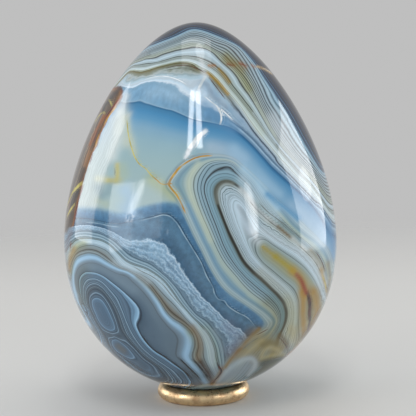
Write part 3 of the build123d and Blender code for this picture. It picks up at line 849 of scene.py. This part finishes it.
class Shader:
    """A material's nodes, with short ways to add them. A value is a number, a colour or a socket."""

    def __init__(self, name):
        self.material = bpy.data.materials.new(name)
        self.material.use_nodes = True
        self.tree = self.material.node_tree
        self.surface = self.tree.nodes["Principled BSDF"]
        self.place = self.add("ShaderNodeTexCoord").outputs["Object"]

    def add(self, kind, inputs=None, **settings):
        """A new node with its settings and the values of its inputs."""
        node = self.tree.nodes.new(kind)
        for name, value in settings.items():
            setattr(node, name, value)
        self.feed(node, inputs or {})
        return node

    def feed(self, node, inputs):
        """Sets or links inputs of a node, by name or number."""
        for socket, value in inputs.items():
            if isinstance(value, bpy.types.NodeSocket):
                self.tree.links.new(value, node.inputs[socket])
            else:
                node.inputs[socket].default_value = value

    def math(self, operation, *values):
        """Result of an operation on one to three values."""
        return self.add("ShaderNodeMath", dict(enumerate(values)), operation=operation).outputs[0]

    def times(self, first, second):
        """Product of two values."""
        return self.math("MULTIPLY", first, second)

    def span(self, value, between, to=(0.0, 1.0), kind="SMOOTHSTEP"):
        """The value's place between two others, clamped, and carried over to a new range."""
        sockets = ("Value", "From Min", "From Max", "To Min", "To Max")
        inputs = dict(zip(sockets, (value, *between, *to)))
        return self.add("ShaderNodeMapRange", inputs, interpolation_type=kind).outputs["Result"]

    def window(self, level, between, soft):
        """1 between two levels and 0 outside, with soft ends."""
        rising, falling = (self.span(level, (edge - soft, edge + soft)) for edge in between)
        return self.math("SUBTRACT", rising, falling)

    def mix(self, factor, first, second, kind="RGBA", way="MIX"):
        """A colour between two others, or one blended with the other in another way."""
        low, high, result = MIX_SOCKETS[kind]
        inputs = {0: factor, low: first, high: second}
        return self.add("ShaderNodeMix", inputs, data_type=kind, blend_type=way).outputs[result]

    def blend(self, factor, first, second):
        """A number between two others."""
        return self.mix(factor, first, second, kind="FLOAT")

    def shade(self, colour, brightness):
        """The colour times a brightness."""
        tone = self.add("ShaderNodeCombineColor", {0: brightness, 1: brightness, 2: brightness})
        return self.mix(1.0, colour, tone.outputs[0], way="MULTIPLY")

    def noise(self, scale, detail=2.0, roughness=0.5, place=None):
        """Noise of about 0 to 1, scale in steps for each metre."""
        inputs = {"Vector": place or self.place, "Scale": scale, "Detail": detail, "Roughness": roughness}
        return self.add("ShaderNodeTexNoise", inputs).outputs["Fac"]

    def wobble(self, level, size, **grain):
        """The level, shifted to and fro by noise of that size."""
        swing = self.math("SUBTRACT", self.noise(**grain), 0.5)
        return self.math("MULTIPLY_ADD", swing, size, level)

    def fine_lines(self, level, period, to):
        """Brightness, in a range, of fine lines that run along the levels at uneven distances."""
        inputs = {"W": level, "Scale": DRIFT_RATE / period, "Detail": 1.0}
        drift = self.add("ShaderNodeTexNoise", inputs, noise_dimensions="1D").outputs["Fac"]
        phase = self.math("MULTIPLY_ADD", level, 2 * math.pi / period, self.times(drift, DRIFT_SIZE))
        return self.span(self.math("SINE", phase), (-WAVE_CLIP, WAVE_CLIP), to, kind="LINEAR")

    def attribute(self, name):
        """What is stored for each vertex under that name."""
        return self.add("ShaderNodeAttribute", attribute_name=name).outputs

    def parts(self, vector):
        """The three numbers of a vector."""
        return self.add("ShaderNodeSeparateXYZ", {"Vector": vector}).outputs

    def ramp(self, level, stops):
        """Colour at a level. Long lists take several ramps, joined where one ends."""
        colour = None
        for start in range(0, len(stops) - 1, RAMP_STOPS - 1):
            part = stops[start : start + RAMP_STOPS]
            low, high = part[0][0], part[-1][0]
            node = self.add("ShaderNodeValToRGB", {"Fac": self.span(level, (low, high), kind="LINEAR")})
            elements = node.color_ramp.elements
            elements[0].color = stone_colour(part[0][1])
            elements[1].color = stone_colour(part[-1][1])
            for stop, tone in part[1:-1]:
                elements.new((stop - low) / (high - low)).color = stone_colour(tone)
            if colour is None:
                colour = node.outputs["Color"]
            else:
                colour = self.mix(self.math("GREATER_THAN", level, low), colour, node.outputs["Color"])
        return colour

    def bump(self, height, strength, distance):
        """Normals of a slightly uneven surface."""
        inputs = {"Height": height, "Strength": strength, "Distance": distance}
        return self.add("ShaderNodeBump", inputs).outputs["Normal"]


def agate_material():
    """Polished banded agate, driven by the pattern fields on the egg's vertices."""
    agate = Shader("polished_agate")

    # Crown bands over the blue layer. The lace just above that layer wanders most.
    crown = agate.wobble(agate.attribute("crown")["Fac"], size=1.3, scale=260)
    lace = agate.window(crown, (4.5, 10), soft=1.0)
    crown = agate.wobble(crown, size=agate.times(lace, 0.7), scale=900)
    colour = agate.ramp(crown, with_lines(CROWN_COLOURS, CROWN_LINES))
    flank = agate.span(agate.parts(agate.place)["X"], FLANK_START)
    flank = agate.times(flank, agate.window(crown, (-5, 12.4), soft=0.5))
    colour = agate.mix(flank, colour, agate.ramp(crown, FLANK_COLOURS))
    cloud = agate.span(agate.noise(scale=60, detail=3.0), (0.25, 0.75), to=(0.94, 1.06), kind="LINEAR")
    upright = agate.add("ShaderNodeMapping", {"Vector": agate.place, "Scale": (1.0, 1.0, 0.15)})
    feather = agate.noise(scale=1100, place=upright.outputs["Vector"])
    feather = agate.span(feather, (0.3, 0.7), to=(0.9, 1.1), kind="LINEAR")
    grain = agate.blend(agate.window(crown, (0.5, 6), soft=0.8), cloud, feather)
    pale_lines = agate.fine_lines(crown, period=1.8, to=(0.85, 1.08))
    grain = agate.blend(agate.window(crown, (6.5, 31), soft=0.8), grain, pale_lines)
    cap_lines = agate.fine_lines(crown, period=1.8, to=(0.65, 1.35))
    grain = agate.blend(agate.span(crown, (46, 47)), grain, cap_lines)

    # Pale veil of fine lines beside the iron stained patch
    iron = agate.wobble(agate.attribute("iron")["Fac"], size=2.0, scale=260, detail=4.0)
    veil = agate.window(iron, (-4.4, -0.3), soft=0.7)
    veil = agate.times(veil, agate.span(crown, (-14, -6), to=(1.0, 0.0)))
    colour = agate.mix(agate.times(veil, 0.55), colour, stone_colour(VEIL_COLOUR))
    grain = agate.blend(veil, grain, agate.fine_lines(iron, period=0.45, to=(0.9, 1.04)))

    # Slate layer and nested bands. The ridge between them is crinkled, with pale crystals below it.
    onion = agate.wobble(agate.attribute("onion")["Fac"], size=0.8, scale=300)
    ridge = agate.window(onion, (26, 39), soft=2.0)
    onion = agate.wobble(onion, size=agate.times(ridge, 6.0), scale=850, detail=4.0, roughness=0.6)
    nested = agate.ramp(onion, with_lines(ONION_COLOURS, ONION_LINES))
    crystals = agate.add("ShaderNodeTexVoronoi", {"Vector": agate.place, "Scale": 2300.0})
    spark = agate.span(crystals.outputs["Distance"], (0.1, 0.42), to=(0.3, 0.0))
    spark = agate.times(spark, agate.window(onion, (30, 38.5), soft=1.0))
    nested = agate.mix(spark, nested, stone_colour(CRYSTAL_COLOUR))
    fibre = agate.noise(scale=800, detail=4.0, roughness=0.7)
    fibre = agate.span(fibre, (0.25, 0.75), to=(0.72, 1.28), kind="LINEAR")
    nested_lines = agate.fine_lines(onion, period=1.6, to=(0.86, 1.09))
    nested_grain = agate.blend(agate.span(onion, (37, 40)), fibre, nested_lines)
    nested_grain = agate.blend(agate.window(onion, (63, 84), soft=0.5), nested_grain, cloud)
    layered = agate.span(onion, (-3.0, 2.0))
    colour = agate.mix(layered, colour, nested)
    grain = agate.blend(layered, grain, nested_grain)

    # Iron stained patch, down to the ridge: rust at its edge, then grey cells
    patch = agate.ramp(iron, with_lines(IRON_COLOURS, IRON_LINES))
    rust = agate.span(agate.noise(scale=170, detail=4.0), (0.56, 0.68), to=(0, 0.4))
    patch = agate.mix(rust, patch, stone_colour(RUST_COLOUR))
    stained = agate.times(agate.span(iron, (-0.25, 0.25)), agate.span(onion, (26, 34), to=(1.0, 0.0)))
    colour = agate.mix(stained, colour, patch)
    grain = agate.blend(stained, grain, agate.fine_lines(iron, period=0.8, to=(0.72, 1.18)))

    # Tongue, over all the others. Its core wanders most.
    tongue = agate.wobble(agate.attribute("tongue")["Fac"], size=0.7, scale=380)
    core = agate.window(tongue, (42, 52), soft=1.5)
    tongue = agate.wobble(tongue, size=agate.times(core, 3.2), scale=1000)
    folded = agate.ramp(tongue, with_lines(TONGUE_COLOURS, TONGUE_LINES))
    quiet_lines = agate.fine_lines(tongue, period=2.6, to=(0.95, 1.03))
    core_lines = agate.fine_lines(tongue, period=2.7, to=(0.74, 1.1))
    folded_grain = agate.blend(agate.window(tongue, (41, 61), soft=1.0), quiet_lines, core_lines)
    folds = agate.span(tongue, (-6.0, -3.0))
    colour = agate.mix(folds, colour, folded)
    grain = agate.blend(folds, grain, folded_grain)

    # Stains, with some painted shade and highlights among them, the fine lines over them, then the thin drawn
    # lines
    patchy = agate.span(agate.noise(scale=240, detail=4.0), (0.3, 0.6), to=(0.8, 1.0))
    tint = agate.attribute("tint")
    tinted = agate.mix(1.0, colour, tint["Color"], way="MULTIPLY")
    colour = agate.mix(agate.times(tint["Alpha"], patchy), colour, tinted)
    paint = agate.attribute("paint")
    cover = agate.times(paint["Alpha"], patchy)
    colour = agate.mix(cover, colour, paint["Color"])
    smoothed = agate.span(cover, (0.6, 0.9), to=(0.0, 0.7))
    colour = agate.shade(colour, agate.blend(smoothed, grain, cloud))
    for name, (main_tone, other_tone, strength, lines) in THIN_LINES.items():
        line = agate.parts(agate.attribute(name)["Vector"])
        across = agate.wobble(line["X"], size=0.7, scale=600)
        shown = agate.span(agate.math("ABSOLUTE", across), (0.4, 1.3), to=(1.0, 0.0))
        shown = agate.times(shown, line["Y"])
        worn = agate.span(agate.noise(scale=330, detail=3.0), (0.3, 0.5), to=(LINE_WEAR * strength, strength))
        other = agate.span(agate.noise(scale=500), (0.4, 0.6))
        tone = agate.mix(other, stone_colour(main_tone), stone_colour(other_tone))
        colour = agate.mix(agate.times(shown, worn), colour, tone)

    polish = agate.span(agate.noise(scale=90, detail=4.0), (0.3, 0.7), to=(0.035, 0.075), kind="LINEAR")
    slate = agate.window(onion, (6, 38), soft=2.0)
    uneven = agate.times(agate.noise(scale=1500, detail=4.0), slate)
    agate.feed(agate.surface, {
        "Base Color": colour,
        "Roughness": polish,
        "IOR": 1.54,
        "Normal": agate.bump(uneven, strength=0.05, distance=0.4 * MM),
    })
    return agate.material


def brass_material():
    """Lightly worn brass with darker tarnish and dark spots."""
    brass = Shader("worn_brass")
    tarnish = brass.span(brass.noise(scale=420, detail=5.0, roughness=0.6), (0.4, 0.68))
    colour = brass.mix(tarnish, screen_colour(BRASS_COLOUR), screen_colour(TARNISH_COLOUR))
    spots = brass.span(brass.noise(scale=1700, detail=3.0), (0.62, 0.72), to=(0.0, 0.5))
    wear = brass.noise(scale=700, detail=4.0)
    uneven = brass.noise(scale=1500, detail=5.0)
    brass.feed(brass.surface, {
        "Base Color": brass.mix(spots, colour, screen_colour(SPOT_COLOUR)),
        "Metallic": brass.span(tarnish, (0.0, 1.0), to=(1.0, 0.7), kind="LINEAR"),
        "Roughness": brass.span(wear, (0.3, 0.7), to=(0.24, 0.46), kind="LINEAR"),
        "Normal": brass.bump(uneven, strength=0.25, distance=0.1 * MM),
    })
    return brass.material


def link(name, data):
    """A new object in the scene."""
    holder = bpy.data.objects.new(name, data)
    bpy.context.scene.collection.objects.link(holder)
    return holder


def add_mesh(name, verts, faces, material):
    """A smooth shaded mesh object in the scene."""
    mesh = bpy.data.meshes.new(name)
    mesh.from_pydata([tuple(vert) for vert in verts], [], faces)
    mesh.shade_smooth()
    mesh.materials.append(material)
    return link(name, mesh)


def set_attribute(piece, name, kind, values):
    """Stores a value for each vertex."""
    attribute = piece.data.attributes.new(name, kind, "POINT")
    key = {"FLOAT": "value", "FLOAT_VECTOR": "vector", "FLOAT_COLOR": "color"}[kind]
    attribute.data.foreach_set(key, np.ascontiguousarray(values, dtype=np.float32).ravel())


def make_egg():
    """The stone, with the fields that its pattern follows."""
    stone = Stone()
    egg = add_mesh("agate_egg_polished", stone.pitted(), stone.faces, agate_material())
    layer = egg.data.uv_layers.new(name="OFBake")
    layer.data.foreach_set("uv", np.array(stone.corners, dtype=np.float32).ravel())
    fields = {
        "crown": (CROWN, rows_behind(CROWN_BEHIND)),
        "tongue": (TONGUE, TONGUE_BEHIND),
        "onion": (ONION, rows_behind(ONION_BEHIND) + ONION_BEHIND_EXTRA),
        "iron": (IRON, IRON_BEHIND),
    }
    for name, (curves, behind) in fields.items():
        set_attribute(egg, name, "FLOAT", stone.field(curves, behind))
    set_attribute(egg, "tint", "FLOAT_COLOR", stone.stains_and_painted_light(TINTS, TINT_GAIN))
    set_attribute(egg, "paint", "FLOAT_COLOR", stone.stains_and_painted_light(PAINTS))
    for name, (main_tone, other_tone, strength, lines) in THIN_LINES.items():
        across, shown = stone.lines(lines)
        set_attribute(egg, name, "FLOAT_VECTOR", np.column_stack([across, shown, np.zeros(len(shown))]))
    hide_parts("agate_egg")
    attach(egg, "egg")


def make_ring():
    """The brass ring: round wire with small dents, flat underneath."""
    verts, faces = [], []
    for step in range(RING_STEPS):
        turn = 2 * math.pi * step / RING_STEPS
        out = Vector((math.cos(turn), math.sin(turn), 0))
        next_step = (step + 1) % RING_STEPS
        here, there = step * WIRE_STEPS, next_step * WIRE_STEPS
        for side in range(WIRE_STEPS):
            lean = 2 * math.pi * side / WIRE_STEPS
            around = out * math.cos(lean) + Vector((0, 0, math.sin(lean)))
            rough = noise.noise((out * RING_RADIUS + around * RING_WIRE / 2) / DENT_GRAIN)
            dent = DENT_DEPTH * max(0.0, rough - DENT_START)
            place = out * RING_RADIUS + around * (RING_WIRE / 2 - dent) + Vector((0, 0, RING_CENTRE))
            place.z = max(place.z, 0.0)
            verts.append(place)
            beside = (side + 1) % WIRE_STEPS
            faces.append((here + side, there + side, there + beside, here + beside))
    ring = add_mesh("ring_stand_brass", verts, faces, brass_material())
    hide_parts("ring_stand")
    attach(ring, "stand")


# Studio: lamps stand round the egg's middle, where its reflections in the photograph put them.
# Name, azimuth and elevation of the lamp's middle, width, height and roll, all in degrees, brightness.
# The first list holds rectangles and the second one ellipses.
WINDOWS = [
    ("right_window", 107.5, 10.5, 39, 38, 0, 3.0),
    ("left_window", -112, 16, 29, 40, 0, 2.1),
    ("left_pane", -69, 9, 23, 27, 12, 2.6),
    ("left_pane_edge", -45, 14, 26, 27, 10, 1.3),
    ("front_strip_left", -9.5, 54, 4, 24, 0, 10.0),
    ("front_strip_right", 1.6, 54, 4.5, 24, 0, 10.0),
    ("top_soft_box", 180, 86, 27, 26, 0, 1.5),
]
GLOWS = [
    ("left_streak", -56, 18, 4.5, 17, -29, 3.4),
    ("left_streak_glow", -56.5, 17.5, 9, 21, -29, 1.9),
    ("right_pane", 44.3, 13.5, 5, 21, 4, 3.6),
    ("right_pane_glow", 43.6, 13.5, 9.5, 25, 4, 3.6),
    ("right_window_sun", 107, 12.5, 18, 9, 0, 2.0),
    ("crown_glow", 102, 86.5, 16, 8, -4, 2.4),
]
# Watts for a brightness of 1 and a width and height of 1 m
LAMP_POWER = {"RECTANGLE": math.pi, "ELLIPSE": math.pi**2 / 4}
LAMP_DISTANCE = 0.5  # metres
LAMP_AIM = Vector((0, 0, 0.045))
FLOOR_COLOUR = (206, 206, 204)
FLOOR_ROUGHNESS = 0.6
FLOOR_SIZE = 6.0  # metres
FLOOR_FADE = (0.15, 0.45)  # metres from the middle, over which the floor passes into the backdrop
BACKDROP = 0.52
AMBIENT = 0.55
NEAREST_SEEN = 0.01  # metres from the camera


def lamp_size(angle):
    """Size in metres of a lamp that looks that many degrees wide from the egg."""
    return 2 * LAMP_DISTANCE * math.tan(math.radians(angle / 2))


def make_lamps(lamps, shape):
    """Area lamps of one shape that face the egg."""
    for name, azimuth, elevation, width, height, roll, brightness in lamps:
        turn, rise = math.radians(azimuth), math.radians(elevation)
        sideways, forward = math.sin(turn) * math.cos(rise), math.cos(turn) * math.cos(rise)
        toward = Vector((sideways, -forward, math.sin(rise)))
        lamp = bpy.data.lights.new(name, "AREA")
        lamp.shape = shape
        lamp.size = lamp_size(width)
        lamp.size_y = lamp_size(height)
        lamp.energy = brightness * LAMP_POWER[shape] * lamp.size * lamp.size_y
        holder = link(name, lamp)
        holder.location = LAMP_AIM + toward * LAMP_DISTANCE
        facing = toward.to_track_quat("Z", "Y") @ Quaternion((0, 0, 1), math.radians(roll))
        holder.rotation_euler = facing.to_euler()


def make_floor():
    """The pale floor, which fades into the backdrop."""
    pale = Shader("pale_floor")
    pale.feed(pale.surface, {"Base Color": screen_colour(FLOOR_COLOUR), "Roughness": FLOOR_ROUGHNESS})
    away = pale.add("ShaderNodeVectorMath", {0: pale.place}, operation="LENGTH").outputs["Value"]
    clear = pale.add("ShaderNodeBsdfTransparent").outputs[0]
    fade = {0: pale.span(away, FLOOR_FADE), 1: pale.surface.outputs[0], 2: clear}
    faded = pale.add("ShaderNodeMixShader", fade).outputs[0]
    pale.feed(pale.tree.nodes["Material Output"], {"Surface": faded})
    half = FLOOR_SIZE / 2
    corners = [(-half, -half, 0), (half, -half, 0), (half, half, 0), (-half, half, 0)]
    floor = add_mesh("floor", corners, [(0, 1, 2, 3)], pale.material)


def make_world():
    """Soft light from all round, and the pale backdrop that camera, metal and polish see."""
    world = bpy.data.worlds.new("studio")
    bpy.context.scene.world = world
    world.use_nodes = True
    tree = world.node_tree
    light = tree.nodes["Background"]
    light.inputs["Color"].default_value = (1, 1, 1, 1)
    path = tree.nodes.new("ShaderNodeLightPath")
    seen = path.outputs["Is Camera Ray"]
    for name in ("Is Glossy Ray", "Is Transmission Ray"):
        either = tree.nodes.new("ShaderNodeMath")
        either.operation = "MAXIMUM"
        tree.links.new(seen, either.inputs[0])
        tree.links.new(path.outputs[name], either.inputs[1])
        seen = either.outputs[0]
    strength = tree.nodes.new("ShaderNodeMapRange")
    strength.inputs["To Min"].default_value = AMBIENT
    strength.inputs["To Max"].default_value = BACKDROP
    tree.links.new(seen, strength.inputs["Value"])
    tree.links.new(strength.outputs["Result"], light.inputs["Strength"])


def make_camera():
    """The camera that took the photograph."""
    right, up, forward = camera_axes()
    camera = bpy.data.cameras.new("photo_camera")
    camera.sensor_width = SENSOR_WIDTH
    camera.lens = FOCAL_LENGTH / PHOTO_SIZE * SENSOR_WIDTH
    camera.shift_x = IMAGE_SHIFT / PHOTO_SIZE
    camera.clip_start = NEAREST_SEEN
    holder = link("photo_camera", camera)
    turned = Matrix((right, up, -forward)).transposed().to_quaternion()
    holder.matrix_world = Matrix.LocRotScale(CAMERA_PLACE, turned, None)
    bpy.context.scene.camera = holder


make_egg()
make_ring()
make_lamps(WINDOWS, "RECTANGLE")
make_lamps(GLOWS, "ELLIPSE")
make_floor()
make_world()
make_camera()
bpy.context.scene.view_settings.view_transform = "Standard"
